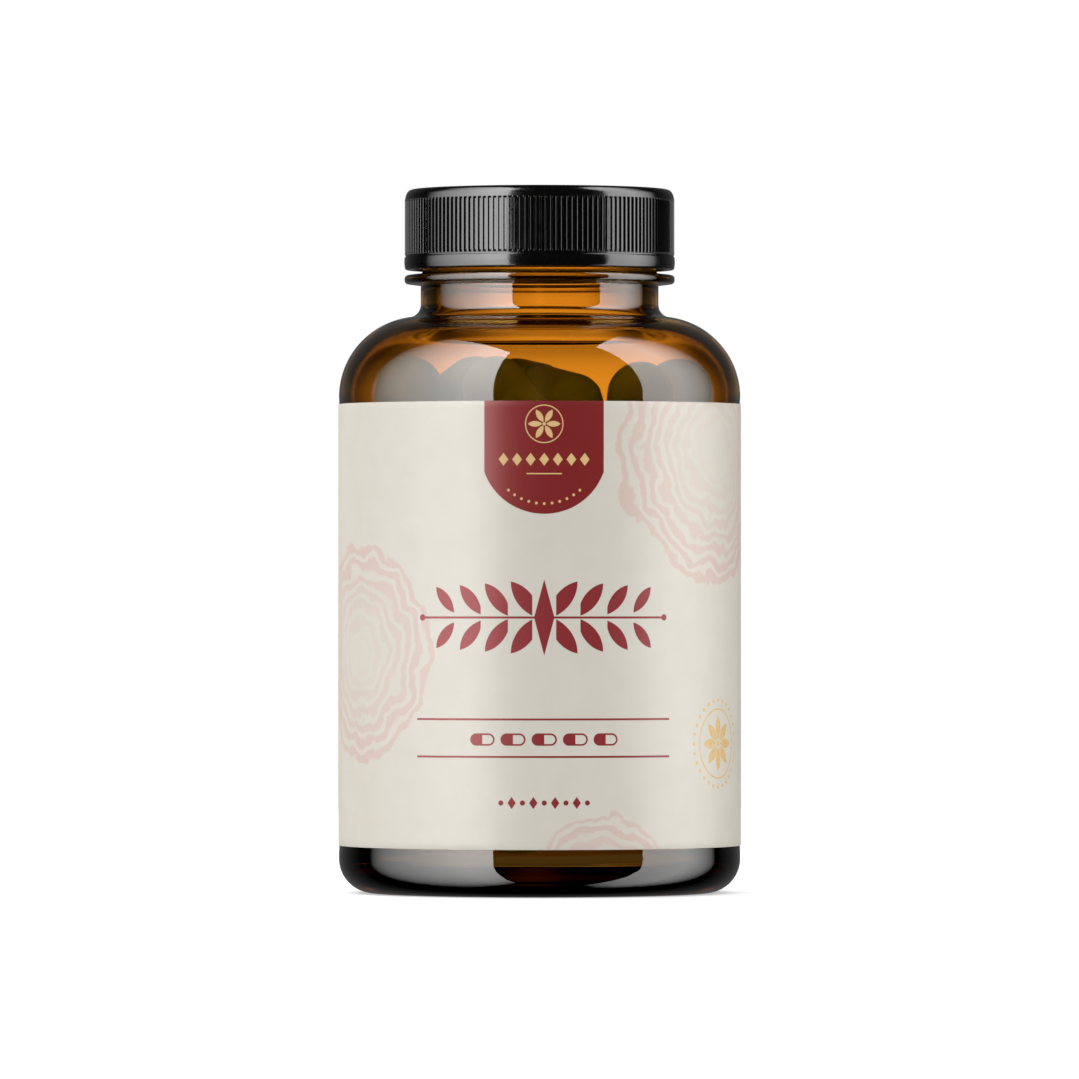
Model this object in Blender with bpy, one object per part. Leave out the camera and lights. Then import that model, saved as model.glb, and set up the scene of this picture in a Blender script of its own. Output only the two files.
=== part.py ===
"""Amber glass bottle of hard capsules, with a ribbed screw cap, a cap liner and a wrap label.

Metres, +Z up. The origin is the middle of the ring that the bottle stands on, and the middle of
the label's front faces -Y. The cap turns about +Z and climbs the thread as it does.
"""

import math
import random

import bmesh
import bpy
import numpy as np
from mathutils import Vector

SEGMENTS = 40  # facets round each turned piece, the same for all so that they nest
MERGE = 1e-6

# Bottle, outside
BODY_RADIUS = 0.0300
SHOULDER_START = 0.0741
SHOULDER_RADIUS = 0.0120
SHOULDER_END = 83  # degrees up the shoulder's arc, where the neck's fillet takes over
NECK_RADIUS, NECK_BOTTOM = 0.01778, 0.0879
NECK_FILLET = 0.0019
BASE_CORNER = 0.0051
BASE_RING_INNER = 0.0215
BASE_RECESS = 0.0014
BASE_SLOPE = 0.0025  # width of the ring's inner slope
BEAD_RADIUS = 0.0202
BEAD_BOTTOM, BEAD_TOP = 0.09075, 0.09255
BEAD_EDGE = 0.0003
FINISH_RADIUS = 0.0175
FINISH_TOP = 0.1024

# Bottle, inside
WALL = 0.00175
FLOOR = 0.0046
BORE_RADIUS, BORE_BOTTOM = 0.0153, 0.0844  # the bore opens into the shoulder at BORE_BOTTOM
BORE_ROUNDING = 0.0036
LIP_EDGE = 0.0004
INNER_CORNER = 0.0040

# Label, in a shallow panel of the bottle's wall
LABEL_BOTTOM, LABEL_TOP = 0.0071, 0.0730
LABEL_OUTER = 0.03010
LABEL_THICKNESS = 0.00012
PANEL_DEPTH = 0.0002
PANEL_MARGIN = 0.0006  # from the label's edge to the panel's
PANEL_EDGE = 0.0004  # height of the slope between panel and wall

# Cap
CAP_BOTTOM, CAP_TOP = 0.0931, 0.1051
CAP_CEILING = 0.1036
CAP_INNER = 0.01895
CAP_BAND_RADIUS, CAP_BAND_TOP = 0.02024, 0.09495
CAP_CORE_RADIUS = 0.01980  # under the ribs
CAP_COLLAR_RADIUS, CAP_COLLAR_BOTTOM, CAP_COLLAR_TOP = 0.02022, 0.10355, 0.10370
CAP_TOP_EDGE = [(0.01993, 0.1043), (0.01970, 0.1048), (0.01910, CAP_TOP)]
RIB_COUNT = 156
RIB_CREST, RIB_VALLEY = 0.02010, 0.01985
RIB_BOTTOM, RIB_TOP = 0.0945, 0.1036

LINER_RADIUS = 0.0184
LINER_GAP = 0.00015  # above the finish and under the cap's ceiling

# Screw thread, right-hand with one start
PITCH = 0.004233
THREAD_STEPS = 24  # per turn
THREAD_PHASE = math.radians(3.1)  # keeps its corners off the bottle's own facets
THREAD_FADE = 3  # steps over which each end sinks into its wall
THREAD_HEIGHT = 0.0952  # where the bottle's thread starts
BOTTLE_THREAD = dict(height=THREAD_HEIGHT, first_turn=0.0, last_turn=1.25, crest=0.0186,
                     sunk=0.0172, root=0.0170, crest_half=0.00050, root_half=0.00125)
CAP_THREAD = dict(height=THREAD_HEIGHT - PITCH / 2, first_turn=0.5, last_turn=1.75, crest=0.01785,
                  sunk=0.01910, root=0.01930, crest_half=0.00035, root_half=0.00085)

# Capsules, size 000
CAPSULE_COUNT = 53
CAPSULE_RADIUS = 0.00495
CAPSULE_STRAIGHT = 0.0162  # between the middles of the two round ends
CAPSULE_SIDES = 8
CAPSULE_GAP = 0.00016
CAPSULE_SEED = 1
# The middles of the round ends of the capsules that show through the shoulder
SHOULDER_CAPSULES = (
    ((-0.0184, -0.0126, 0.0751), (-0.0206, -0.0030, 0.0623)),
    ((-0.0064, -0.0190, 0.0746), (0.0038, -0.0210, 0.0622)),
    ((-0.0092, -0.0085, 0.0740), (-0.0176, 0.0047, 0.0699)),
    ((0.0046, -0.0116, 0.0718), (-0.0036, 0.0021, 0.0744)),
    ((0.0140, -0.0172, 0.0740), (0.0139, -0.0063, 0.0620)),
    ((0.0202, -0.0064, 0.0746), (0.0164, 0.0084, 0.0693)),
)
GROW_STEPS, SETTLE_STEPS, HOLD_STEPS, SPREAD_STEPS = 800, 1300, 300, 1200
GROW_SINK, SETTLE_SINK = 0.000015, 0.00004  # fall per step
PUSH_SHARE = 0.35  # of each overlap that one step takes away


def material(name, colour, roughness, transmission=0.0, ior=1.5):
    made = bpy.data.materials.new(name)
    made.use_nodes = True
    shader = made.node_tree.nodes["Principled BSDF"]
    shader.inputs["Base Color"].default_value = (*colour, 1.0)
    shader.inputs["Roughness"].default_value = roughness
    shader.inputs["Metallic"].default_value = 0.0
    shader.inputs["Transmission Weight"].default_value = transmission
    shader.inputs["IOR"].default_value = ior
    return made


def piece(name, bm, finish, parent=None):
    """Turns a bmesh into a smooth-shaded object under its parent."""
    mesh = bpy.data.meshes.new(name)
    bm.to_mesh(mesh)
    bm.free()
    mesh.shade_smooth()
    mesh.set_sharp_from_angle(angle=math.radians(30))
    mesh.materials.append(finish)
    made = bpy.data.objects.new(name, mesh)
    bpy.context.collection.objects.link(made)
    made.parent = parent
    return made


def empty(name):
    made = bpy.data.objects.new(name, None)
    bpy.context.collection.objects.link(made)
    return made


def add_to(target, tool):
    """Fuses a hidden tool object into the target."""
    tool.hide_render = True
    tool.display_type = "WIRE"
    fuse = target.modifiers.new(tool.name, "BOOLEAN")
    fuse.operation = "UNION"
    fuse.solver = "EXACT"
    fuse.object = tool


def arc(middle, radius, start_deg, end_deg, steps):
    """Points of an arc in the (radius, height) plane, both ends included."""
    points = []
    for k in range(steps + 1):
        angle = math.radians(start_deg + (end_deg - start_deg) * k / steps)
        points.append((middle[0] + radius * math.cos(angle), middle[1] + radius * math.sin(angle)))
    return points


def turned(profile, segments=SEGMENTS):
    """A closed bmesh turned about Z from a (radius, height) profile that starts and ends on Z."""
    bm = bmesh.new()
    verts = [bm.verts.new((r, 0.0, z)) for r, z in profile]
    edges = [bm.edges.new(pair) for pair in zip(verts, verts[1:])]
    bmesh.ops.spin(bm, geom=verts + edges, cent=(0, 0, 0), axis=(0, 0, 1),
                   angle=2 * math.pi, steps=segments, use_merge=True)
    bmesh.ops.remove_doubles(bm, verts=bm.verts, dist=MERGE)
    bmesh.ops.recalc_face_normals(bm, faces=bm.faces)
    return bm


def swept(rings, closed=False):
    """A closed bmesh through rings of points, with flat ends unless the rings meet."""
    bm = bmesh.new()
    loops = [[bm.verts.new(p) for p in ring] for ring in rings]
    pairs = list(zip(loops, loops[1:]))
    if closed:
        pairs.append((loops[-1], loops[0]))
    else:
        bm.faces.new(loops[0])
        bm.faces.new(loops[-1][::-1])
    for low, high in pairs:
        for k in range(len(low)):
            after = (k + 1) % len(low)
            bm.faces.new((low[k], high[k], high[after], low[after]))
    bmesh.ops.triangulate(bm, faces=bm.faces)
    bmesh.ops.recalc_face_normals(bm, faces=bm.faces)
    return bm


def helical_ridge(height, first_turn, last_turn, crest, sunk, root, crest_half, root_half):
    """A thread ridge on the helix that passes height at turn 0.

    Its root lies inside the wall, and both its ends sink into it.
    """
    first, last = round(first_turn * THREAD_STEPS), round(last_turn * THREAD_STEPS)
    rings = []
    for k in range(first, last + 1):
        angle = THREAD_PHASE + 2 * math.pi * k / THREAD_STEPS
        middle = height + PITCH * k / THREAD_STEPS
        rise = min(1.0, (k - first) / THREAD_FADE, (last - k) / THREAD_FADE)
        tip = sunk + (crest - sunk) * rise
        section = ((root, -root_half), (tip, -crest_half), (tip, crest_half), (root, root_half))
        rings.append([(r * math.cos(angle), r * math.sin(angle), middle + up) for r, up in section])
    return swept(rings)


def bottle_outside():
    """From the middle of the underside up to the finish's outer lip."""
    panel = BODY_RADIUS - PANEL_DEPTH
    low, high = LABEL_BOTTOM - PANEL_MARGIN, LABEL_TOP + PANEL_MARGIN
    fillet_middle = (NECK_RADIUS + NECK_FILLET, NECK_BOTTOM)
    points = [(0.0, BASE_RECESS), (BASE_RING_INNER - BASE_SLOPE, BASE_RECESS * 0.7)]
    points += [(BASE_RING_INNER, 0.0)]
    points += arc((BODY_RADIUS - BASE_CORNER, BASE_CORNER), BASE_CORNER, -90, 0, 3)
    points += [(BODY_RADIUS, low - PANEL_EDGE), (panel, low)]
    points += [(panel, high), (BODY_RADIUS, high + PANEL_EDGE)]
    points += arc((BODY_RADIUS - SHOULDER_RADIUS, SHOULDER_START), SHOULDER_RADIUS, 0,
                  SHOULDER_END, 5)
    points += arc(fillet_middle, NECK_FILLET, 180 + SHOULDER_END, 180, 2)[1:]
    points += [(NECK_RADIUS, BEAD_BOTTOM), (BEAD_RADIUS, BEAD_BOTTOM + BEAD_EDGE)]
    points += [(BEAD_RADIUS, BEAD_TOP - BEAD_EDGE), (FINISH_RADIUS, BEAD_TOP)]
    points += [(FINISH_RADIUS, FINISH_TOP)]
    return points


def bottle_inside():
    """From the finish's inner lip down to the middle of the floor."""
    inner = BODY_RADIUS - WALL
    shoulder = SHOULDER_RADIUS - WALL
    points = [(BORE_RADIUS + LIP_EDGE, FINISH_TOP), (BORE_RADIUS, FINISH_TOP - LIP_EDGE)]
    points += arc((BORE_RADIUS + BORE_ROUNDING, BORE_BOTTOM + BORE_ROUNDING), BORE_ROUNDING,
                  180, 255, 2)
    points += arc((BODY_RADIUS - SHOULDER_RADIUS, SHOULDER_START), shoulder, SHOULDER_END, 0, 3)
    points += arc((inner - INNER_CORNER, FLOOR + INNER_CORNER), INNER_CORNER, 0, -90, 2)
    points += [(0.0, FLOOR)]
    return points


def make_bottle(parent):
    amber = material("amber_glass", (0.42, 0.16, 0.02), 0.02, transmission=1.0, ior=1.52)
    bottle = piece("bottle", turned(bottle_outside() + bottle_inside()), amber, parent)
    thread = piece("bottle_thread_tool", helical_ridge(**BOTTLE_THREAD), amber, parent)
    add_to(bottle, thread)


def rib_ring():
    """A tube whose outside is a zigzag of ribs. Its inside and both ends lie in the cap's wall."""
    inner = (CAP_INNER + CAP_CORE_RADIUS) / 2
    rings = []
    for k in range(2 * RIB_COUNT):
        angle = math.pi * k / RIB_COUNT
        outer = RIB_VALLEY if k % 2 else RIB_CREST
        section = ((inner, RIB_BOTTOM), (outer, RIB_BOTTOM), (outer, RIB_TOP), (inner, RIB_TOP))
        rings.append([(r * math.cos(angle), r * math.sin(angle), z) for r, z in section])
    return swept(rings, closed=True)


def make_cap(parent):
    black = material("black_plastic", (0.006, 0.006, 0.006), 0.22)
    profile = [(0.0, CAP_CEILING), (CAP_INNER, CAP_CEILING)]
    profile += [(CAP_INNER, CAP_BOTTOM), (CAP_BAND_RADIUS - 0.0002, CAP_BOTTOM)]
    profile += [(CAP_BAND_RADIUS, CAP_BOTTOM + 0.0002)]
    profile += [(CAP_BAND_RADIUS, CAP_BAND_TOP), (CAP_CORE_RADIUS, CAP_BAND_TOP + 0.0003)]
    profile += [(CAP_CORE_RADIUS, CAP_COLLAR_BOTTOM - 0.0003)]
    profile += [(CAP_COLLAR_RADIUS, CAP_COLLAR_BOTTOM), (CAP_COLLAR_RADIUS, CAP_COLLAR_TOP)]
    profile += CAP_TOP_EDGE + [(0.0, CAP_TOP)]
    cap = piece("cap", turned(profile), black, parent)
    add_to(cap, piece("cap_ribs_tool", rib_ring(), black, parent))
    add_to(cap, piece("cap_thread_tool", helical_ridge(**CAP_THREAD), black, parent))


def make_liner(parent):
    foam = material("liner_foam", (0.80, 0.80, 0.78), 0.8)
    low, high = FINISH_TOP + LINER_GAP, CAP_CEILING - LINER_GAP
    piece("liner", turned([(0.0, low), (LINER_RADIUS, low), (LINER_RADIUS, high), (0.0, high)]),
          foam, parent)


def make_label(parent):
    """A wrap that leaves one of the bottle's facets bare at the back, where its ends nearly meet."""
    paper = material("label_paper", (0.70, 0.66, 0.60), 0.35)
    inner = LABEL_OUTER - LABEL_THICKNESS
    first = SEGMENTS // 4 + 1
    rings = []
    for k in range(first, first + SEGMENTS):
        angle = 2 * math.pi * k / SEGMENTS
        section = ((inner, LABEL_BOTTOM), (LABEL_OUTER, LABEL_BOTTOM), (LABEL_OUTER, LABEL_TOP),
                   (inner, LABEL_TOP))
        rings.append([(r * math.cos(angle), r * math.sin(angle), z) for r, z in section])
    piece("label", swept(rings), paper, parent)


def across(a, b):
    """Row by row, the scalar product of two arrays of vectors."""
    return a[:, 0] * b[:, 0] + a[:, 1] * b[:, 1] + a[:, 2] * b[:, 2]


def nearest_points(ends, first, second):
    """For each pair of capsules, how far along each axis the two axes are nearest, from 0 to 1."""
    along_1 = ends[first, 1] - ends[first, 0]
    along_2 = ends[second, 1] - ends[second, 0]
    between = ends[first, 0] - ends[second, 0]
    square = CAPSULE_STRAIGHT * CAPSULE_STRAIGHT
    lean = across(along_1, along_2)
    toward_1, toward_2 = across(along_1, between), across(along_2, between)
    spread = np.maximum(square * square - lean * lean, square * square * 1e-6)
    share_1 = np.clip((lean * toward_2 - toward_1 * square) / spread, 0, 1)
    share_2 = np.clip((lean * share_1 + toward_2) / square, 0, 1)
    share_1 = np.clip((lean * share_2 - toward_1) / square, 0, 1)
    return share_1, share_2


def push_apart(ends, looseness, first, second, reach):
    """Moves capsules that are nearer than reach apart, each by its share of the looseness."""
    middles = (ends[:, 0] + ends[:, 1]) / 2
    apart = middles[first] - middles[second]
    near = across(apart, apart) < (CAPSULE_STRAIGHT + reach) ** 2
    first, second = first[near], second[near]
    share_1, share_2 = nearest_points(ends, first, second)
    point_1 = ends[first, 0] + (ends[first, 1] - ends[first, 0]) * share_1[:, None]
    point_2 = ends[second, 0] + (ends[second, 1] - ends[second, 0]) * share_2[:, None]
    line = point_1 - point_2
    distance = np.maximum(np.sqrt(across(line, line)), 1e-9)
    push = np.maximum(reach - distance, 0) * PUSH_SHARE / distance
    total = np.maximum(looseness[first] + looseness[second], 1e-9)
    moves = np.zeros_like(ends)
    for which, share, sign in ((first, share_1, 1), (second, share_2, -1)):
        size = sign * push * looseness[which] / total / ((1 - share) ** 2 + share ** 2)
        np.add.at(moves[:, 0], which, line * (size * (1 - share))[:, None])
        np.add.at(moves[:, 1], which, line * (size * share)[:, None])
    ends += moves


def keep_lengths(ends, looseness):
    line = ends[:, 1] - ends[:, 0]
    length = np.sqrt(across(line, line))
    fix = line * ((length - CAPSULE_STRAIGHT) / length / 2 * (looseness > 0))[:, None]
    ends[:, 0] += fix
    ends[:, 1] -= fix


def keep_inside(ends, looseness, radius):
    """Keeps the round ends off the wall, the floor and the shoulder."""
    clearance = radius + CAPSULE_GAP / 2
    loose = looseness > 0
    for side in (0, 1):
        x, y, z = ends[:, side, 0], ends[:, side, 1], ends[:, side, 2]
        out = np.maximum(np.sqrt(x * x + y * y), 1e-9)
        target = np.minimum(out, BODY_RADIUS - WALL - clearance)
        height = np.maximum(z, FLOOR + clearance)
        over, up = target - (BODY_RADIUS - SHOULDER_RADIUS), height - SHOULDER_START
        room = SHOULDER_RADIUS - WALL - clearance
        reach = np.maximum(np.sqrt(over * over + up * up), 1e-9)
        in_shoulder = (over > 0) & (up > 0) & (reach > room)
        shrink = np.where(in_shoulder, room / reach, 1.0)
        target = np.where(in_shoulder, target - over * (1 - shrink), target)
        height = np.where(in_shoulder, height - up * (1 - shrink), height)
        ends[:, side, 0] = np.where(loose, x * target / out, x)
        ends[:, side, 1] = np.where(loose, y * target / out, y)
        ends[:, side, 2] = np.where(loose, height, z)


def random_direction(rng):
    while True:
        way = Vector([rng.uniform(-1, 1) for _ in range(3)])
        if 0.1 < way.length < 1:
            return way / way.length


def scattered_capsules():
    """The shoulder's capsules where they show, and the rest scattered up the bottle."""
    rng = random.Random(CAPSULE_SEED)
    ends = [[Vector(end) for end in pair] for pair in SHOULDER_CAPSULES]
    free = CAPSULE_COUNT - len(ends)
    for k in range(free):
        height = 0.010 + 0.062 * (k + 0.5) / free
        middle = Vector((rng.uniform(-0.012, 0.012), rng.uniform(-0.012, 0.012), height))
        half = random_direction(rng) * CAPSULE_STRAIGHT / 2
        ends.append([middle - half, middle + half])
    return np.array(ends)


def settled_capsules():
    """Grows the capsules in the bottle, lets them fall and settle, then frees every overlap."""
    ends = scattered_capsules()
    shown = len(SHOULDER_CAPSULES)
    looseness = np.ones(CAPSULE_COUNT)
    looseness[:shown] = 0.0
    first, second = np.triu_indices(CAPSULE_COUNT, 1)
    settled = GROW_STEPS + SETTLE_STEPS
    for step in range(settled + HOLD_STEPS + SPREAD_STEPS):
        size, sink = 1.0, 0.0
        if step < GROW_STEPS:
            size, sink = 0.05 + 0.95 * step / GROW_STEPS, GROW_SINK
        elif step < settled:
            sink = SETTLE_SINK * (settled - step) / SETTLE_STEPS
        elif step == settled + HOLD_STEPS:
            looseness[:shown] = 0.3
        ends[:, :, 2] -= sink * looseness[:, None]
        reach = (2 * CAPSULE_RADIUS + CAPSULE_GAP) * size
        push_apart(ends, looseness, first, second, reach)
        keep_lengths(ends, looseness)
        keep_inside(ends, looseness, CAPSULE_RADIUS * size)
    return ends


def make_capsules(parent):
    """Every capsule shares one mesh, placed by the middles of its round ends."""
    green = material("capsule_shell", (0.30, 0.46, 0.12), 0.25)
    half = CAPSULE_STRAIGHT / 2
    profile = [(0.0, -half - CAPSULE_RADIUS)]
    profile += arc((0.0, -half), CAPSULE_RADIUS, -45, 0, 1)
    profile += arc((0.0, half), CAPSULE_RADIUS, 0, 45, 1)
    profile += [(0.0, half + CAPSULE_RADIUS)]
    shared = None
    for k, (low, high) in enumerate(settled_capsules()):
        name = f"capsule_{k + 1:02d}"
        if shared is None:
            made = piece(name, turned(profile, CAPSULE_SIDES), green, parent)
            shared = made.data
        else:
            made = bpy.data.objects.new(name, shared)
            bpy.context.collection.objects.link(made)
            made.parent = parent
        made.location = Vector(low + high) / 2
        made.rotation_mode = "QUATERNION"
        made.rotation_quaternion = Vector(high - low).to_track_quat("Z", "Y")


def main():
    for old in list(bpy.data.objects):
        bpy.data.objects.remove(old, do_unlink=True)
    standing = empty("bottle_base")
    turning = empty("cap_axis")
    make_bottle(standing)
    make_label(standing)
    make_capsules(standing)
    make_liner(turning)
    make_cap(turning)


main()
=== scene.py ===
"""Looks of the amber capsule bottle: clear glass, ribbed cap, printed wrap label and capsules.

Metres, +Z up, in the frame's own axes: the label's front faces -Y, where the camera stands.
"""

import math

import bpy
import numpy as np
from mathutils import Matrix, Vector


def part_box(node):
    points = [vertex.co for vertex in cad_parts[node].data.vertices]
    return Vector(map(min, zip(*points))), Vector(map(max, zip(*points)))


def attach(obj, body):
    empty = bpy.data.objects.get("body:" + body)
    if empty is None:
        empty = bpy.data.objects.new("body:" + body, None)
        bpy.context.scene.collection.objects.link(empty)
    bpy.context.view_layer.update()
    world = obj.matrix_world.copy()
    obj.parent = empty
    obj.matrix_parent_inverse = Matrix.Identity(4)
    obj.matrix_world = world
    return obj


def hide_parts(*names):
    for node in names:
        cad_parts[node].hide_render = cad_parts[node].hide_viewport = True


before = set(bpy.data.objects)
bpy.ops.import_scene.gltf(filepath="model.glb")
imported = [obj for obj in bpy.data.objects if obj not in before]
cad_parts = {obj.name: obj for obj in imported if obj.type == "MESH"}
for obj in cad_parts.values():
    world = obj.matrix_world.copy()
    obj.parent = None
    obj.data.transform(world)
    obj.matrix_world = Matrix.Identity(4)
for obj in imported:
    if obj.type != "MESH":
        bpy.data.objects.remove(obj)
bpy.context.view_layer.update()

MM = 0.001

# Bottle
BODY_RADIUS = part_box("bottle")[1].x
FINISH_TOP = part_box("bottle")[1].z
SHOULDER_START, SHOULDER_RADIUS, SHOULDER_END_DEG = 74.1 * MM, 12.0 * MM, 83
NECK_RADIUS, NECK_BOTTOM, NECK_FILLET, BEAD_ROOT = 17.78 * MM, 87.9 * MM, 1.9 * MM, 0.1 * MM
BASE_CORNER, RING_INNER, RECESS, RECESS_SLOPE = 5.1 * MM, 21.5 * MM, 1.4 * MM, 2.5 * MM
BEAD_RADIUS, BEAD_BOTTOM, BEAD_TOP, BEAD_SLOPE = 20.2 * MM, 90.75 * MM, 92.55 * MM, 0.3 * MM
FINISH_RADIUS, BORE_RADIUS = 17.5 * MM, 15.34 * MM
BORE_BOTTOM, BORE_ROUNDING, INNER_END_DEG = 84.4 * MM, 3.6 * MM, 81.3
WALL, FLOOR, INNER_CORNER = 1.66 * MM, 4.6 * MM, 4.0 * MM
PANEL_DEPTH, PANEL_MARGIN = 0.04 * MM, 0.5 * MM
BOTTLE_COLUMNS = 240

# Thread, right-hand with one start, as in the frame
PITCH = 4.233 * MM
THREAD_PHASE = math.radians(3.1)
THREAD_FADE = 0.12  # of a turn, at each end
THREAD_HEIGHT = 95.2 * MM
BOTTLE_THREAD = dict(height=THREAD_HEIGHT, first=0.0, last=1.25, crest=0.50 * MM, root=1.25 * MM)
CAP_THREAD = dict(height=THREAD_HEIGHT - PITCH / 2, first=0.5, last=1.75, crest=0.35 * MM,
                  root=0.85 * MM)
BOTTLE_THREAD_RADIUS, CAP_THREAD_RADIUS = 18.6 * MM, 17.85 * MM

# Cap
CAP_LOW, CAP_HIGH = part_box("cap")
CAP_INNER, CAP_CEILING = 18.95 * MM, 103.6 * MM
BAND_RADIUS, BAND_TOP = CAP_HIGH.x, 95.0 * MM
CAP_COLUMNS, RIB_COUNT = 312, 156
RIB_RADIUS, RIB_DEPTH = 20.16 * MM, 0.30 * MM
RIB_SHAPE = [  # one rib and groove: share of the pitch, and height from 0 to 1
    (0.00, 1.00), (0.16, 1.00), (0.32, 1.00), (0.36, 0.88), (0.41, 0.00), (0.66, 0.00),
    (0.91, 0.00), (0.96, 0.88)]
RIB_SHARP = math.radians(24)
RIB_BOTTOM, RIB_TOP, RIB_RUN_OUT = 95.3 * MM, 103.5 * MM, 0.30 * MM
CAP_TOP_FLAT = 19.1 * MM

# Label
LABEL_LOW, LABEL_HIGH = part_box("label")
LABEL_RADIUS = LABEL_HIGH.x
LABEL_GAP_START, LABEL_GAP_END = math.radians(90), math.radians(99)  # bare glass at the back
LABEL_COLUMNS = 320
LABEL_THICK, LABEL_EDGE = 0.13 * MM, 0.03 * MM

# Print, in millimetres on the label's flat map: across from the print's middle, and up
LABEL_MAP = "label_mm"
LABEL_TURN = 0.68  # how far right of the front the print's middle sits
CREAM, CREAM_SHADE = (0.592, 0.558, 0.492), (0.569, 0.535, 0.468)
PINK, GOLD = (0.570, 0.447, 0.398), (0.640, 0.440, 0.200)
RED, TITLE_RED = (0.190, 0.012, 0.012), (0.220, 0.016, 0.020)
TAB_HALF, TAB_ROUND, TAB_ROUND_HEIGHT = 8.9, 9.5, 65.9
ROSETTE_HEIGHT, LOZENGE_HEIGHT, SHORT_RULE_HEIGHT = 69.6, 64.4, 62.3
SPRIG_HEIGHT, STEM_HALF = 41.2, 19.2
RULES_HEIGHT, RULES_APART, RULES_HALF = 23.5, 2.75, 20.0
PILLS_HEIGHT, DOTS_HEIGHT = 23.3, 14.0
SEAL_ACROSS, SEAL_HEIGHT, SEAL_RADIUS, SEAL_RING = 31.6, 22.5, 6.4, 5.1
SEAL_DOTS, SEAL_PETALS = 28, 8
PANEL_ACROSS, PANEL_HEIGHT, PANEL_HALF = 66.0, 27.0, (15.0, 20.0)
RING_STEP = 2.1
RING_PLACES = (  # across, up and radius
    (31.0, 66.0, 20.5), (-33.0, 36.0, 16.0), (9.0, 1.0, 11.0), (-66.0, 66.0, 15.5),
    (80.0, 64.0, 13.0))

# Capsules, size 000
CAPSULE_CAP_RADIUS, CAPSULE_BODY_RADIUS = 4.95 * MM, 4.74 * MM
CAPSULE_SEAM = 0.06  # of the length above the middle, where the cap's rim is
CAPSULE_COLUMNS = 40

# Studio. Edges are given as the two values of a direction's part over which they come in.
FLOOR_REACH = 0.6
SKY_LEVEL, SKY_SLOPE = 0.22, 2.10
CARD_LEVEL, CARD_HALF, CARD_EVERY = 0.74, math.radians(3.6), math.radians(90)
CARD_TURN, CARD_BOTTOM, CARD_TOP = math.radians(1.2), (-0.24, -0.14), (0.85, 0.75)
HORIZON_LEVEL, HORIZON_HALF, HORIZON_TOP = 0.44, math.radians(10), (0.15, 0.05)
SIDE_LEVEL, SIDE_EDGE = 0.27, (math.radians(45), math.radians(62))
LOW_LEVEL, DIM_LEVEL = 0.10, 0.02
BACKDROP_LEVEL, BACKDROP_EDGE = 0.12, (0.55, 0.95)
FADE_UP = 0.75  # share of a glossy light's height over which it dims
SOFTBOXES = (  # name, azimuth, height, distance, size, radiance, ray that sees it, fade across
    ("left_gloss", -69, -0.27, 0.50, (0.93, 3.0), 11.2, "glossy", 0.75),
    ("right_gloss", 89, -0.27, 0.50, (0.56, 3.0), 7.0, "glossy", 0.50),
    ("left_fill", -132, 0.45, 0.60, (0.60, 0.80), 3.4, "diffuse", None),
    ("right_fill", 80, 0.45, 0.60, (0.60, 0.80), 0.62, "diffuse", None))

# Photograph's camera
CAMERA_DISTANCE, CAMERA_HEIGHT = 1.530, 44.5 * MM
CAMERA_FOCAL_PX, PHOTO_PX, HORIZON_PX, AXIS_PX = 10231, 1079, 595.0, 539.6


# ---------------------------------------------------------------- shapes


def arc(middle, radius, start_deg, end_deg, steps):
    """Points of an arc in the (radius, height) plane, both ends included."""
    angles = np.radians(np.linspace(start_deg, end_deg, steps + 1))
    return [(middle[0] + radius * math.cos(a), middle[1] + radius * math.sin(a)) for a in angles]


def corner(before, point, after, radius):
    """A rounded corner between two straight runs: points of the arc that touches both."""
    steps = 4 if radius < 1 * MM else 12
    point, before, after = Vector(point), Vector(before), Vector(after)
    to_before, to_after = (before - point).normalized(), (after - point).normalized()
    half = to_before.angle(to_after) / 2
    reach = min(radius / math.tan(half), (before - point).length, (after - point).length)
    start, end = point + to_before * reach, point + to_after * reach
    middle = point + (to_before + to_after).normalized() * reach / math.cos(half)
    size = reach * math.tan(half)
    points = []
    for k in range(steps + 1):
        way = (start.lerp(end, k / steps) - middle).normalized()
        points.append(tuple(middle + way * size))
    return points


def rounded(corners):
    """A profile through (radius, height, rounding) corners, with its two ends left as they are."""
    points = [corners[0][:2]]
    for k in range(1, len(corners) - 1):
        before, (r, z, size), after = corners[k - 1][:2], corners[k], corners[k + 1][:2]
        points += corner(before, (r, z), after, size) if size else [(r, z)]
    return points + [corners[-1][:2]]


def between(start, end, steps):
    """Evenly spaced points after start and before end."""
    return [tuple(Vector(start).lerp(Vector(end), k / steps)) for k in range(1, steps)]


def new_mesh(name, verts, faces):
    mesh = bpy.data.meshes.new(name)
    mesh.from_pydata(verts, [], faces)
    mesh.validate()
    mesh.shade_smooth()
    return mesh


def new_object(name, mesh):
    made = bpy.data.objects.new(name, mesh)
    bpy.context.scene.collection.objects.link(made)
    return made


def joined(low, high, count):
    """The faces of one step round between two rings of (first corner, columns).

    One ring's columns are a multiple of the other's, and count is the smaller number.
    """
    faces = []
    for k in range(count):
        sides = []
        for first, columns in (low, high):
            step = columns // count
            sides.append([first + (k * step + j) % columns for j in range(step + 1)])
        faces.append(sides[0] + sides[1][::-1])
    return faces


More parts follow.
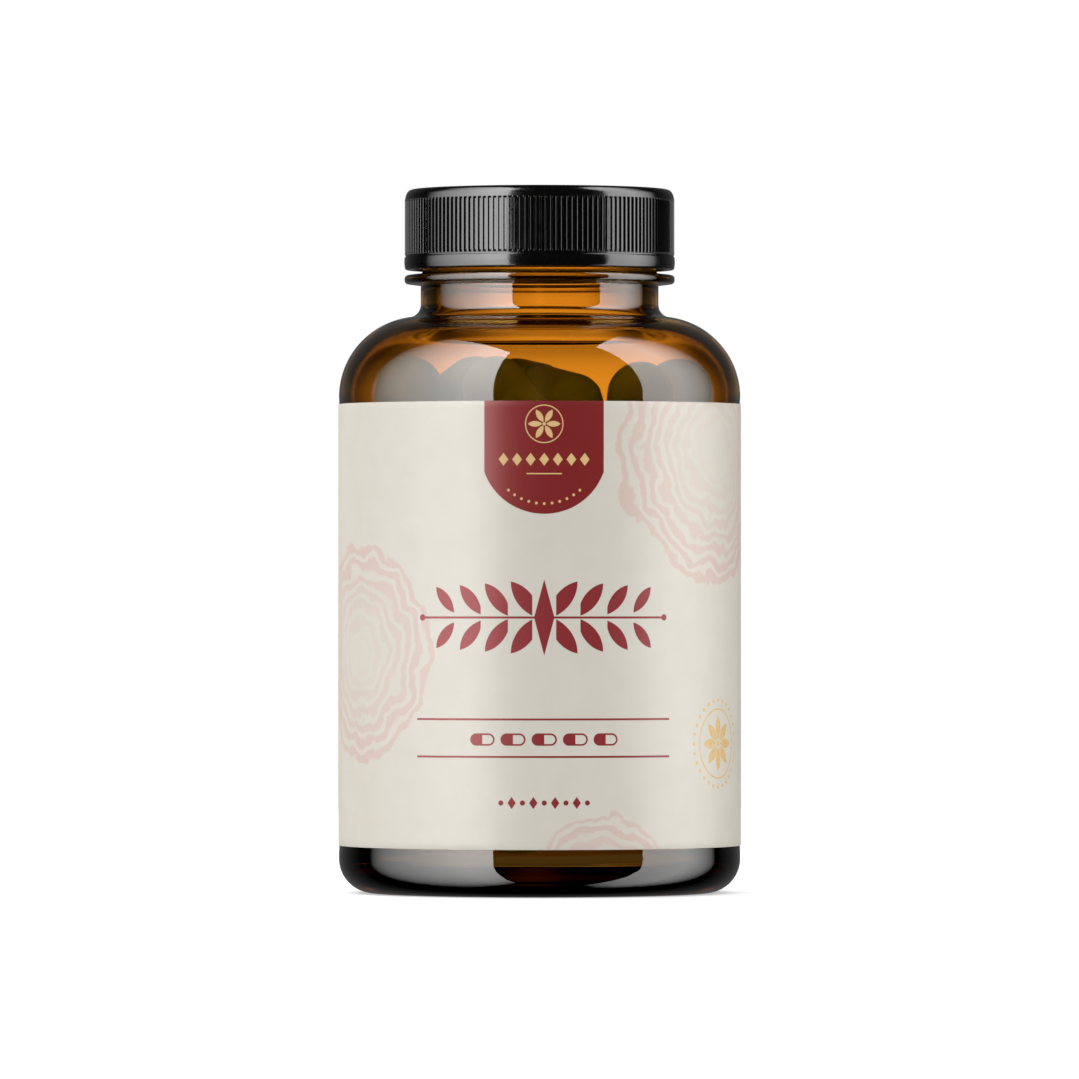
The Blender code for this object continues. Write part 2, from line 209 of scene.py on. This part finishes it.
def turned(name, profile, columns, ring_at=None):
    """A closed mesh turned about Z from a profile that starts and ends on Z.

    ring_at(angles, radius, height) may give one ring its own angles and radii.
    """
    rings = []
    verts = [(0.0, 0.0, profile[0][1])]
    for r, z in profile[1:-1]:
        angles = np.arange(columns) * (2 * math.pi / columns)
        angles, radii = ring_at(angles, r, z) if ring_at else (angles, np.full(columns, r))
        count = len(angles)
        rings.append((len(verts), count))
        verts += zip(radii * np.cos(angles), radii * np.sin(angles), np.full(count, z))
    verts.append((0.0, 0.0, profile[-1][1]))
    last = len(verts) - 1
    (first, count), (top, top_count) = rings[0], rings[-1]
    faces = [(0, first + (k + 1) % count, first + k) for k in range(count)]
    for low, high in zip(rings, rings[1:]):
        faces += joined(low, high, min(low[1], high[1]))
    faces += [(last, top + k, top + (k + 1) % top_count) for k in range(top_count)]
    return new_mesh(name, verts, faces)


def thread_rise(angles, z, height, first, last, crest, root):
    """How far the thread stands out at each angle of the height z, from 0 to 1."""
    tall = np.zeros_like(angles)
    for lap in range(-1, 3):
        turn = (angles - THREAD_PHASE) / (2 * math.pi) + lap
        inside = np.clip(np.minimum(turn - first, last - turn) / THREAD_FADE, 0, 1)
        flank = np.clip((root - np.abs(z - height - PITCH * turn)) / (root - crest), 0, 1)
        smooth = flank * flank * (3 - 2 * flank)
        tall = np.maximum(tall, smooth * inside)
    return tall


# ---------------------------------------------------------------- bottle


def bottle_profile():
    """From the middle of the underside, up the outside, over the lip and down to the floor."""
    panel = BODY_RADIUS - PANEL_DEPTH
    low, high = LABEL_LOW.z - PANEL_MARGIN, LABEL_HIGH.z + PANEL_MARGIN
    shoulder_middle = (BODY_RADIUS - SHOULDER_RADIUS, SHOULDER_START)
    outside = rounded([
        (0.0, RECESS, 0), (RING_INNER - RECESS_SLOPE, RECESS, 1.5 * MM), (RING_INNER, 0.0, 0.6 * MM),
        (BODY_RADIUS - BASE_CORNER, 0.0, 0)])
    outside += arc((BODY_RADIUS - BASE_CORNER, BASE_CORNER), BASE_CORNER, -88, 0, 16)
    outside += [(BODY_RADIUS, low - PANEL_MARGIN), (panel, low), (panel, high)]
    outside += arc(shoulder_middle, SHOULDER_RADIUS, 0, SHOULDER_END_DEG, 28)
    outside += arc((NECK_RADIUS + NECK_FILLET, NECK_BOTTOM), NECK_FILLET,
                   180 + SHOULDER_END_DEG, 180, 12)[1:]
    outside += rounded([
        (NECK_RADIUS, NECK_BOTTOM + 1 * MM, 0), (NECK_RADIUS, BEAD_BOTTOM, BEAD_ROOT),
        (BEAD_RADIUS, BEAD_BOTTOM + BEAD_SLOPE, 0.5 * MM),
        (BEAD_RADIUS, BEAD_TOP - BEAD_SLOPE, 0.5 * MM),
        (FINISH_RADIUS, BEAD_TOP, 0.4 * MM), (FINISH_RADIUS, BEAD_TOP + 1 * MM, 0)])
    finish_low, finish_high = BEAD_TOP + 1 * MM, FINISH_TOP - 1 * MM
    outside += between((FINISH_RADIUS, finish_low), (FINISH_RADIUS, finish_high), 48)
    lip = rounded([
        (FINISH_RADIUS, finish_high, 0), (FINISH_RADIUS, FINISH_TOP, 0.6 * MM),
        (BORE_RADIUS, FINISH_TOP, 0.5 * MM), (BORE_RADIUS, FINISH_TOP - 2 * MM, 0)])
    neck_end = arc(shoulder_middle, SHOULDER_RADIUS - WALL, INNER_END_DEG, 0, 22)
    inside = rounded([
        (BORE_RADIUS, FINISH_TOP - 3 * MM, 0), (BORE_RADIUS, BORE_BOTTOM, BORE_ROUNDING),
        neck_end[0] + (0,)])
    inner = BODY_RADIUS - WALL
    floor_corner = arc((inner - INNER_CORNER, FLOOR + INNER_CORNER), INNER_CORNER, 0, -90, 12)
    return outside + lip + inside[:-1] + neck_end + floor_corner + [(0.0, FLOOR)]


def bottle_ring(angles, r, z):
    """Adds the thread to the finish's rings, and leaves the bore and all else round."""
    radii = np.full(len(angles), r)
    if r >= FINISH_RADIUS and r < BEAD_RADIUS and BEAD_TOP < z < FINISH_TOP:
        radii += (BOTTLE_THREAD_RADIUS - FINISH_RADIUS) * thread_rise(angles, z, **BOTTLE_THREAD)
    return angles, radii


def make_bottle():
    bottle = new_object("glass_bottle", turned("glass_bottle", bottle_profile(), BOTTLE_COLUMNS,
                                               bottle_ring))
    bottle.data.materials.append(amber_glass())
    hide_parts("bottle")
    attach(bottle, "bottle")


# ---------------------------------------------------------------- cap and liner


def cap_profile():
    """From the ceiling's middle, down the skirt, up the outside and over the top."""
    skirt_low, skirt_high = CAP_LOW.z + 0.6 * MM, CAP_CEILING - 0.6 * MM
    inside = [(0.0, CAP_CEILING), (CAP_INNER - 0.6 * MM, CAP_CEILING), (CAP_INNER, skirt_high)]
    inside += between((CAP_INNER, skirt_high), (CAP_INNER, skirt_low), 40)
    band_middle = (CAP_LOW.z + BAND_TOP) / 2
    ribs = RIB_RADIUS - RIB_DEPTH
    rim = rounded([
        (CAP_INNER, skirt_low, 0), (CAP_INNER, CAP_LOW.z, 0.25 * MM),
        (BAND_RADIUS - 0.12 * MM, CAP_LOW.z, 0.3 * MM), (BAND_RADIUS, band_middle, 1.5 * MM),
        (BAND_RADIUS - 0.04 * MM, BAND_TOP, 0.15 * MM), (RIB_RADIUS - 0.12 * MM, BAND_TOP, 0.1 * MM),
        (RIB_RADIUS - 0.12 * MM, RIB_BOTTOM - 0.05 * MM, 0), (ribs, RIB_BOTTOM, 0)])
    grip = [(ribs, z) for z in np.linspace(RIB_BOTTOM, RIB_BOTTOM + RIB_RUN_OUT, 4)]
    grip += [(ribs, z) for z in np.linspace(RIB_TOP - RIB_RUN_OUT, RIB_TOP, 4)]
    top = rounded([
        (RIB_RADIUS, RIB_TOP, 0), (RIB_RADIUS - 0.01 * MM, RIB_TOP + 0.10 * MM, 0),
        (19.97 * MM, 104.35 * MM, 1.0 * MM), (19.62 * MM, 104.95 * MM, 0.8 * MM),
        (CAP_TOP_FLAT, CAP_HIGH.z, 0.6 * MM), (CAP_TOP_FLAT - 2 * MM, CAP_HIGH.z, 0),
        (0.0, CAP_HIGH.z, 0)])
    return inside + rim[:-1] + grip + top[1:]


def cap_ring(angles, r, z):
    """Raises the ribs on the grip's rings and the thread on the skirt's."""
    radii = np.full(len(angles), r)
    if abs(r - CAP_INNER) < 1e-9:
        radii -= (CAP_INNER - CAP_THREAD_RADIUS) * thread_rise(angles, z, **CAP_THREAD)
    elif RIB_BOTTOM <= z <= RIB_TOP and r > CAP_INNER:
        share, height = np.array(RIB_SHAPE).T
        pitch = 2 * math.pi / RIB_COUNT
        angles = (np.arange(RIB_COUNT)[:, None] * pitch + share * pitch).ravel()
        run_out = min(1.0, (z - RIB_BOTTOM) / RIB_RUN_OUT, (RIB_TOP - z) / RIB_RUN_OUT)
        radii = r + RIB_DEPTH * (1 - run_out * (1 - np.tile(height, RIB_COUNT)))
    return angles, radii


def make_cap():
    cap = new_object("ribbed_cap", turned("ribbed_cap", cap_profile(), CAP_COLUMNS, cap_ring))
    cap.data.set_sharp_from_angle(angle=RIB_SHARP)
    cap.data.materials.append(black_plastic())
    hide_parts("cap")
    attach(cap, "cap")


def make_liner():
    """A foam disc with the groove that the bottle's lip has pressed into it."""
    low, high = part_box("liner")
    radius, press = high.x, 0.12 * MM
    lip_middle, lip_half = (FINISH_RADIUS + BORE_RADIUS) / 2, 1.5 * MM
    profile = rounded([
        (0.0, low.z, 0), (lip_middle - lip_half, low.z, 0.3 * MM),
        (lip_middle - lip_half / 2, low.z + press, 0.3 * MM),
        (lip_middle + lip_half / 2, low.z + press, 0.3 * MM), (lip_middle + lip_half, low.z, 0.1 * MM),
        (radius, low.z, 0.15 * MM), (radius, high.z, 0.15 * MM), (0.0, high.z, 0)])
    liner = new_object("foam_liner", turned("foam_liner", profile, 96))
    liner.data.materials.append(liner_foam())
    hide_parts("liner")
    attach(liner, "liner")


# ---------------------------------------------------------------- label


def make_label():
    """The wrap, with a flat map of its outside in millimetres: across from the front, and up."""
    inner, edge = LABEL_RADIUS - LABEL_THICK, LABEL_EDGE
    low, high = LABEL_LOW.z, LABEL_HIGH.z
    section = [(inner, low), (LABEL_RADIUS - edge, low), (LABEL_RADIUS, low + edge)]
    section += [(LABEL_RADIUS, z) for z in np.linspace(low + 1 * MM, high - 1 * MM, 12)]
    section += [(LABEL_RADIUS, high - edge), (LABEL_RADIUS - edge, high), (inner, high)]
    first, turn = LABEL_GAP_END, 2 * math.pi - (LABEL_GAP_END - LABEL_GAP_START)
    count = len(section)
    verts, flat = [], []
    for k in range(LABEL_COLUMNS + 1):
        angle = first + turn * k / LABEL_COLUMNS
        for r, z in section:
            verts.append((r * math.cos(angle), r * math.sin(angle), z))
            flat.append((LABEL_RADIUS * (angle - 1.5 * math.pi) / MM, z / MM))
    faces = []
    for k in range(LABEL_COLUMNS):
        here, there = k * count, (k + 1) * count
        for j in range(count):
            up = (j + 1) % count
            faces.append((here + j, there + j, there + up, here + up))
    faces += [tuple(range(count))[::-1], tuple(LABEL_COLUMNS * count + j for j in range(count))]
    mesh = new_mesh("wrap_label", verts, faces)
    mesh.set_sharp_from_angle(angle=math.radians(50))
    layer = mesh.uv_layers.new(name=LABEL_MAP)
    for loop in mesh.loops:
        layer.data[loop.index].uv = flat[loop.vertex_index]
    label = new_object("wrap_label", mesh)
    label.data.materials.append(printed_paper())
    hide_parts("label")
    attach(label, "bottle")


# ---------------------------------------------------------------- capsules


def capsule_profile(length):
    """Body end at the bottom, cap end at the top, with the cap's rim standing over the body."""
    half = length / 2
    rim = length * CAPSULE_SEAM
    body, cap = CAPSULE_BODY_RADIUS, CAPSULE_CAP_RADIUS
    groove = half - cap - 2.2 * MM
    low = arc((0.0, -half + body), body, -90, 0, 10)
    high = arc((0.0, half - cap), cap, 0, 90, 10)
    low[0], high[-1] = (0.0, -half), (0.0, half)
    lip = rounded([
        (body, rim - 1 * MM, 0), (body, rim, 0.04 * MM), (cap, rim, 0.07 * MM),
        (cap, rim + 1 * MM, 0)])
    ring = [(cap, groove - 0.5 * MM), (cap - 0.09 * MM, groove - 0.15 * MM),
            (cap - 0.09 * MM, groove + 0.15 * MM), (cap, groove + 0.5 * MM)]
    return low + lip + ring + high


def node_poles(node):
    """The two tips of a faceted capsule: the corners that lie farthest apart."""
    points = np.array([v.co for v in node.data.vertices])
    apart = ((points[:, None] - points[None]) ** 2).sum(axis=2)
    low, high = np.unravel_index(apart.argmax(), apart.shape)
    return sorted((Vector(points[low]), Vector(points[high])), key=lambda p: p.z)


def make_capsules():
    names = sorted(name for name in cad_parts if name.startswith("capsule_"))
    shell = capsule_shell()
    for k, name in enumerate(names):
        low, high = node_poles(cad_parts[name])
        way = high - low if k % 2 else low - high
        mesh = turned(f"two_part_{name}", capsule_profile(way.length), CAPSULE_COLUMNS)
        place = Matrix.Translation((low + high) / 2) @ way.to_track_quat("Z", "Y").to_matrix().to_4x4()
        mesh.transform(place)
        mesh.materials.append(shell)
        made = new_object(mesh.name, mesh)
        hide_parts(name)
        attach(made, "bottle")


# ---------------------------------------------------------------- node maths


class Field:
    """A value that varies over a surface, as a chain of Math nodes. d < 0 is inside a shape."""

    def __init__(self, tree, socket):
        self.tree, self.socket = tree, socket

    def math(self, operation, *others):
        node = self.tree.nodes.new("ShaderNodeMath")
        node.operation = operation
        for slot, value in zip(node.inputs, (self, *others)):
            if isinstance(value, Field):
                self.tree.links.new(value.socket, slot)
            else:
                slot.default_value = value
        return Field(self.tree, node.outputs[0])

    def __add__(self, other):
        return self.math("ADD", other)

    def __sub__(self, other):
        return self.math("SUBTRACT", other)

    def __mul__(self, other):
        return self.math("MULTIPLY", other)

    def __truediv__(self, other):
        return self.math("DIVIDE", other)

    def __abs__(self):
        return self.math("ABSOLUTE")

    def least(self, other):
        return self.math("MINIMUM", other)

    def most(self, other):
        return self.math("MAXIMUM", other)

    def blend(self, share, other):
        """This where share is 0 and the other where it is 1."""
        return self + share * (self * -1.0 + other)

    def fold(self, pitch):
        """Repeats every pitch, measured from the nearest repeat's middle."""
        return self.math("WRAP", pitch / 2, -pitch / 2)

    def nearest(self, pitch, first, last):
        """Measured from the nearest of the repeats that run from first to last."""
        index = (self / pitch).math("ROUND").most(first).least(last)
        return self - index * pitch

    def turned_by(self, other, degrees):
        """This and the other coordinate, turned about their zero."""
        c, s = math.cos(math.radians(degrees)), math.sin(math.radians(degrees))
        return self * c + other * s, other * c - self * s


def clamped(value):
    return value.most(0.0).least(1.0)


def ramp(value, start, end):
    """0 at start, 1 at end, straight between them and level beyond. End may be the lower one."""
    return clamped((value - start) / (end - start))


def away(a, b):
    """Distance from the zero of two coordinates."""
    return (a * a + b * b).math("SQRT")


def disc(a, b, radius):
    return away(a, b) - radius


def ring(a, b, radius, width):
    return abs(disc(a, b, radius)) - width / 2


def bar(a, b, half_a, half_b):
    return (abs(a) - half_a).most(abs(b) - half_b)


def lozenge(a, b, half_a, half_b):
    return (abs(a) / half_a + abs(b) / half_b - 1.0) * min(half_a, half_b)


def pill(a, b, half, radius):
    """A stadium along a: half is from its middle to the middle of a round end."""
    return away((abs(a) - half).most(0.0), b) - radius


def leaf(a, b, half_length, half_width):
    """A pointed oval along a, where two equal circles overlap."""
    radius = (half_length ** 2 + half_width ** 2) / (2 * half_width)
    return away(a, abs(b) + (radius - half_width)) - radius


def inked(distance, softness=0.05):
    """1 inside a shape and 0 outside, over a soft edge in millimetres."""
    return clamped(distance * (-1.0 / softness) + 0.5)


# ---------------------------------------------------------------- materials



def principled(name, **values):
    """A Principled material and its tree. Names are the sockets' own, with _ for a space."""
    made = bpy.data.materials.new(name)
    made.use_nodes = True
    shader = made.node_tree.nodes["Principled BSDF"]
    for key, value in values.items():
        socket = shader.inputs[key.replace("_", " ")]
        socket.default_value = (*value, 1.0) if isinstance(value, tuple) else value
    return made, made.node_tree, shader


def noise(tree, scale, detail=2.0, roughness=0.5, stretch=None):
    """Noise over the object's own coordinates, which may be stretched along an axis."""
    place = tree.nodes.new("ShaderNodeTexCoord")
    grain = tree.nodes.new("ShaderNodeTexNoise")
    grain.inputs["Scale"].default_value = scale
    grain.inputs["Detail"].default_value = detail
    grain.inputs["Roughness"].default_value = roughness
    source = place.outputs["Object"]
    if stretch:
        mapping = tree.nodes.new("ShaderNodeMapping")
        mapping.inputs["Scale"].default_value = stretch
        tree.links.new(source, mapping.inputs["Vector"])
        source = mapping.outputs["Vector"]
    tree.links.new(source, grain.inputs["Vector"])
    return Field(tree, grain.outputs["Fac"])


def bumped(tree, shader, height, distance, strength=1.0):
    bump = tree.nodes.new("ShaderNodeBump")
    bump.inputs["Distance"].default_value = distance
    bump.inputs["Strength"].default_value = strength
    tree.links.new(height.socket, bump.inputs["Height"])
    tree.links.new(bump.outputs["Normal"], shader.inputs["Normal"])


def ranged(field, low, high):
    """Stretches a noise that runs about 0.3 to 0.7 over low to high."""
    return (field - 0.3) * ((high - low) / 0.4) + low


def mixed(tree, share, first, second):
    """The first colour where share is 0 and the second where it is 1."""
    node = tree.nodes.new("ShaderNodeMix")
    node.data_type = "RGBA"
    for slot, value in ((6, first), (7, second)):
        if isinstance(value, tuple):
            node.inputs[slot].default_value = (*value, 1.0)
        else:
            tree.links.new(value, node.inputs[slot])
    tree.links.new(share.socket, node.inputs[0])
    return node.outputs[2]


def amber_glass():
    """Clear amber glass, a little deeper where it is thick, with a moulded wall's slow waves."""
    made, tree, shader = principled(
        "amber_glass", Base_Color=(0.94, 0.566, 0.144), Roughness=0.0, IOR=1.5,
        Transmission_Weight=1.0)
    depth = tree.nodes.new("ShaderNodeVolumeAbsorption")
    depth.inputs["Color"].default_value = (0.783, 0.680, 0.450, 1.0)
    depth.inputs["Density"].default_value = 300.0
    tree.links.new(depth.outputs["Volume"], tree.nodes["Material Output"].inputs["Volume"])
    bumped(tree, shader, noise(tree, 70.0, detail=1.0, stretch=(1.0, 1.0, 0.4)), 0.05 * MM)
    return made


def black_plastic():
    """Moulded black plastic: a faint orange peel and slightly uneven gloss."""
    made, tree, shader = principled(
        "black_plastic", Base_Color=(0.0025, 0.0025, 0.0027), Roughness=0.14, IOR=1.5)
    gloss = ranged(noise(tree, 400.0, detail=3.0), 0.10, 0.17)
    tree.links.new(gloss.socket, shader.inputs["Roughness"])
    bumped(tree, shader, noise(tree, 2500.0, detail=1.0), 0.004 * MM)
    return made


def liner_foam():
    """Closed-cell foam: fine pits, and no gloss."""
    made, tree, shader = principled("liner_foam", Base_Color=(0.80, 0.80, 0.77), Roughness=0.85)
    cells = noise(tree, 3500.0, detail=2.0)
    tint = mixed(tree, cells, (0.84, 0.84, 0.81), (0.70, 0.70, 0.67))
    tree.links.new(tint, shader.inputs["Base Color"])
    bumped(tree, shader, cells, 0.04 * MM)
    return made


def capsule_shell():
    """Smooth hard-capsule shell in leaf green, slightly uneven in tone."""
    made, tree, shader = principled(
        "capsule_shell", Base_Color=(0.42, 0.68, 0.16), Roughness=0.36, IOR=1.45)
    tone = ranged(noise(tree, 90.0, detail=3.0), 0.0, 1.0)
    tint = mixed(tree, tone, (0.38, 0.63, 0.14), (0.46, 0.73, 0.18))
    tree.links.new(tint, shader.inputs["Base Color"])
    bumped(tree, shader, noise(tree, 500.0, detail=2.0), 0.010 * MM)
    return made


def tab_shape(u, v):
    """The red tab that hangs from the label's top edge, with a round lower end."""
    below = (v - TAB_ROUND_HEIGHT).least(0.0)
    return (abs(u) - TAB_HALF).most(away(u, below) - TAB_ROUND)


def tab_ornament(u, v):
    """Rosette, row of lozenges, short rule and an arc of dots, all inside the tab."""
    centre = v - ROSETTE_HEIGHT
    petals = None
    for degrees in (0, 60, 120):
        along, across = u.turned_by(centre, degrees)
        petal = leaf(abs(along) - 1.35, across, 1.05, 0.42)
        petals = petal if petals is None else petals.least(petal)
    shape = petals.least(disc(u, centre, 0.26)).least(ring(u, centre, 2.75, 0.16))
    lozenges = lozenge(u.fold(2.0), v - LOZENGE_HEIGHT, 0.72, 0.95).most(abs(u) - 6.9)
    shape = shape.least(lozenges).least(bar(u, v - SHORT_RULE_HEIGHT, 2.6, 0.09))
    radius, up = 8.0, v - TAB_ROUND_HEIGHT
    along = u.math("ARCTAN2", up * -1.0) * radius
    dots = disc(along.fold(1.15), away(u, up) - radius, 0.20).most(abs(along) - 6.3)
    return shape.least(dots)


def sprig(u, v):
    """A level stem with pairs of leaves that grow smaller outwards from a lozenge."""
    height = v - SPRIG_HEIGHT
    out = abs(u)
    size = (out * -0.026 + 1.12).most(0.45)
    step = (out - 3.3).nearest(4.1, 0, 3)
    along, across = (step + 0.4).turned_by(abs(height) - 2.7, 52)
    shape = leaf(along / size, across / size, 3.3, 1.15).most(out * -1.0 + 1.75)
    stem = bar(u, height, STEM_HALF, 0.16)
    tips = disc(out - 19.0, height, 0.48)
    return shape.least(stem).least(tips).least(lozenge(u, height, 1.5, 5.6))


def rules(u, v):
    """Two thin level lines."""
    return bar(u, abs(v - RULES_HEIGHT) - RULES_APART, RULES_HALF, 0.15)


def pill_row(u, v):
    """Five small pills, each with one half filled."""
    height = v - PILLS_HEIGHT
    along = u.nearest(4.6, -2, 2)
    shape = pill(along, height, 0.95, 0.78)
    return (abs(shape) - 0.13).least(shape.most(along))


def dot_row(u, v):
    """A fine row of dots and lozenges in turn."""
    height = v - DOTS_HEIGHT
    dots = disc(u.nearest(3.2, -2, 2), height, 0.38)
    lozenges = lozenge((abs(u) - 1.6).nearest(3.2, 0, 1), height, 0.62, 0.90)
    return dots.least(lozenges)


def seal(u, v):
    """A gold ring of dots round a thin ring and an eight-petalled rosette."""
    across, up = u - SEAL_ACROSS, v - SEAL_HEIGHT
    reach = away(across, up)
    around = across.math("ARCTAN2", up)
    beads = disc(around.fold(2 * math.pi / SEAL_DOTS) * SEAL_RADIUS, reach - SEAL_RADIUS, 0.30)
    swing = around.fold(2 * math.pi / SEAL_PETALS)
    side, along = swing.math("SINE") * reach, swing.math("COSINE") * reach
    petals = leaf(along - 2.35, side, 1.75, 0.72)
    return beads.least(abs(reach - SEAL_RING) - 0.13).least(petals).least(reach - 0.45)


def back_panels(u, v):
    """A thin frame round level rules, on each side of the label's back."""
    across, up = abs(u) - PANEL_ACROSS, v - PANEL_HEIGHT
    outline = abs(bar(across, up, *PANEL_HALF)) - 0.13
    lines = bar(across, up.fold(4.0), 12.5, 0.10).most(abs(up) - 17.0)
    return outline.least(lines)


def growth_rings(u, v, across, up, radius, warp):
    """Uneven rings round a point, fading towards the middle: 0 to 1."""
    reach = away(u - across, v - up) + warp
    lines = (reach * (2 * math.pi / RING_STEP)).math("SINE") * 1.1 + 0.75
    outwards = reach * (1.3 / radius) - 0.10
    return inked(reach - radius, 0.5) * clamped(lines) * clamped(outwards)


def printed_paper():
    """Cream satin paper with its print, all from the label's flat map."""
    made, tree, shader = principled(
        "printed_paper", Roughness=0.36, IOR=1.5, Specular_IOR_Level=0.28)
    place = tree.nodes.new("ShaderNodeUVMap")
    place.uv_map = LABEL_MAP
    split = tree.nodes.new("ShaderNodeSeparateXYZ")
    tree.links.new(place.outputs["UV"], split.inputs["Vector"])
    u = Field(tree, split.outputs["X"]) - LABEL_TURN
    v = Field(tree, split.outputs["Y"])

    mottle = ranged(noise(tree, 260.0, detail=4.0), 0.0, 1.0)
    colour = mixed(tree, mottle, CREAM, CREAM_SHADE)
    warp = ranged(noise(tree, 220.0, detail=3.0), -1.1, 1.1)
    faint = None
    for across, up, radius in RING_PLACES:
        rings = growth_rings(u, v, across, up, radius, warp)
        faint = rings if faint is None else faint.most(rings)
    colour = mixed(tree, faint, colour, PINK)
    red = sprig(u, v).least(rules(u, v)).least(pill_row(u, v)).least(dot_row(u, v))
    red = inked(red.least(back_panels(u, v)))
    colour = mixed(tree, red, colour, TITLE_RED)
    tab = inked(tab_shape(u, v))
    colour = mixed(tree, tab, colour, RED)
    gold = inked(tab_ornament(u, v).least(seal(u, v)))
    colour = mixed(tree, gold, colour, GOLD)
    tree.links.new(colour, shader.inputs["Base Color"])

    fibre = noise(tree, 2200.0, detail=3.0, roughness=0.6)
    gloss = ranged(fibre, 0.33, 0.40) - tab * 0.05 - gold * 0.08
    tree.links.new(gloss.socket, shader.inputs["Roughness"])
    bumped(tree, shader, fibre, 0.006 * MM)
    return made


# ---------------------------------------------------------------- studio


def fade(light, rear, across_share):
    """Dims a light towards its lower end, and over a share of its width from its rear end."""
    light.use_nodes = True
    tree = light.node_tree
    place = tree.nodes.new("ShaderNodeNewGeometry")
    split = tree.nodes.new("ShaderNodeSeparateXYZ")
    tree.links.new(place.outputs["Parametric"], split.inputs["Vector"])
    across, up = (Field(tree, split.outputs[axis]) for axis in "XY")
    share = (up / FADE_UP).least(1.0) * (abs(across - rear) / across_share).least(1.0)
    tree.links.new(share.socket, tree.nodes["Emission"].inputs["Strength"])


def softbox(name, azimuth, height, distance, size, radiance, seen_by, fade_across):
    """A soft light that faces the bottle from an azimuth left (-) or right (+) of the camera."""
    data = bpy.data.lights.new(name, "AREA")
    data.shape = "RECTANGLE"
    data.size, data.size_y = size
    data.energy = radiance * math.pi * size[0] * size[1]
    if fade_across:
        fade(data, 0 if azimuth < 0 else 1, fade_across)
    lamp = bpy.data.objects.new(name, data)
    bpy.context.scene.collection.objects.link(lamp)
    turn = math.radians(azimuth)
    lamp.location = (distance * math.sin(turn), -distance * math.cos(turn), height)
    lamp.rotation_mode = "QUATERNION"
    level = Vector((-lamp.location.x, -lamp.location.y, 0.0))
    lamp.rotation_quaternion = level.to_track_quat("-Z", "Y")
    lamp.visible_camera = False
    for ray in ("diffuse", "glossy", "transmission"):
        setattr(lamp, f"visible_{ray}", ray == seen_by)


def make_studio():
    reach = FLOOR_REACH
    floor = new_object("studio_floor", new_mesh(
        "studio_floor", [(-reach, -reach, 0), (reach, -reach, 0), (reach, reach, 0),
                         (-reach, reach, 0)], [(0, 1, 2, 3)]))
    floor.data.materials.append(studio_white())
    floor.visible_glossy = False
    floor.visible_transmission = False
    for box in SOFTBOXES:
        softbox(*box)


def studio_white():
    """Matt white, lit until it meets the white behind it without a line."""
    return principled("studio_white", Base_Color=(0.60, 0.60, 0.60), Roughness=1.0,
                      Specular_IOR_Level=0.0, Emission_Color=(1.0, 1.0, 1.0),
                      Emission_Strength=0.45)[0]


def make_world():
    """A white room, whose share of the light depends on how it is seen.

    The camera sees plain white. Matt surfaces get soft light, mostly from above. Gloss shows a
    dim backdrop. Through the glass show a narrow bright card behind the bottle, a lower band of
    light beside it near the horizon, a little light from the sides and less from below.
    """
    world = bpy.data.worlds.new("studio")
    bpy.context.scene.world = world
    world.use_nodes = True
    world.cycles.sampling_method = "NONE"
    tree = world.node_tree
    rays = tree.nodes.new("ShaderNodeLightPath")
    place = tree.nodes.new("ShaderNodeTexCoord")
    split = tree.nodes.new("ShaderNodeSeparateXYZ")
    tree.links.new(place.outputs["Generated"], split.inputs["Vector"])
    x, y, z = (Field(tree, split.outputs[axis]) for axis in "XYZ")

    up = z.most(0.0)
    soft = up * up * SKY_SLOPE + SKY_LEVEL
    azimuth = x.math("ARCTAN2", y)
    turn = abs((azimuth - CARD_TURN).fold(CARD_EVERY))
    card = ((turn / CARD_HALF).math("POWER", 4.0) + 1.0).math("POWER", -1.0) * CARD_LEVEL
    wide = turn / HORIZON_HALF
    horizon = (wide * wide + 1.0).math("POWER", -1.0) * ramp(z, *HORIZON_TOP) * HORIZON_LEVEL
    sides = ramp(abs(azimuth.fold(math.pi)), *SIDE_EDGE) * SIDE_LEVEL
    raised = ramp(z, *CARD_BOTTOM)
    card = (card + horizon + sides) * raised * ramp(z, *CARD_TOP)
    card = card + (raised * -1.0 + 1.0) * LOW_LEVEL + DIM_LEVEL
    behind = ramp(y, *BACKDROP_EDGE) * BACKDROP_LEVEL

    camera = Field(tree, rays.outputs["Is Camera Ray"])
    matt = Field(tree, rays.outputs["Diffuse Depth"]).least(1.0)
    through = Field(tree, rays.outputs["Is Transmission Ray"]) * (matt * -1.0 + 1.0)
    gloss = Field(tree, rays.outputs["Is Glossy Ray"])
    strength = soft.blend(gloss, behind).blend(through, card).blend(camera, 1.0)
    background = tree.nodes["Background"]
    background.inputs["Color"].default_value = (1.0, 1.0, 1.0, 1.0)
    tree.links.new(strength.socket, background.inputs["Strength"])


def make_camera():
    data = bpy.data.cameras.new("photo_camera")
    camera = bpy.data.objects.new("photo_camera", data)
    bpy.context.scene.collection.objects.link(camera)
    data.sensor_width = 36.0
    data.lens = CAMERA_FOCAL_PX / PHOTO_PX * data.sensor_width
    data.clip_start, data.clip_end = 0.05, 50.0
    pitch = math.atan((HORIZON_PX - PHOTO_PX / 2) / CAMERA_FOCAL_PX)
    turn = math.atan((AXIS_PX - PHOTO_PX / 2) / CAMERA_FOCAL_PX)
    camera.location = (0.0, -CAMERA_DISTANCE, CAMERA_HEIGHT)
    camera.rotation_euler = (math.pi / 2 + pitch, 0.0, turn)
    bpy.context.scene.camera = camera


def main():
    view = bpy.context.scene.view_settings
    view.view_transform = "Standard"
    view.look = "None"
    make_camera()
    make_world()
    make_studio()
    make_bottle()
    make_label()
    make_capsules()
    make_liner()
    make_cap()


main()
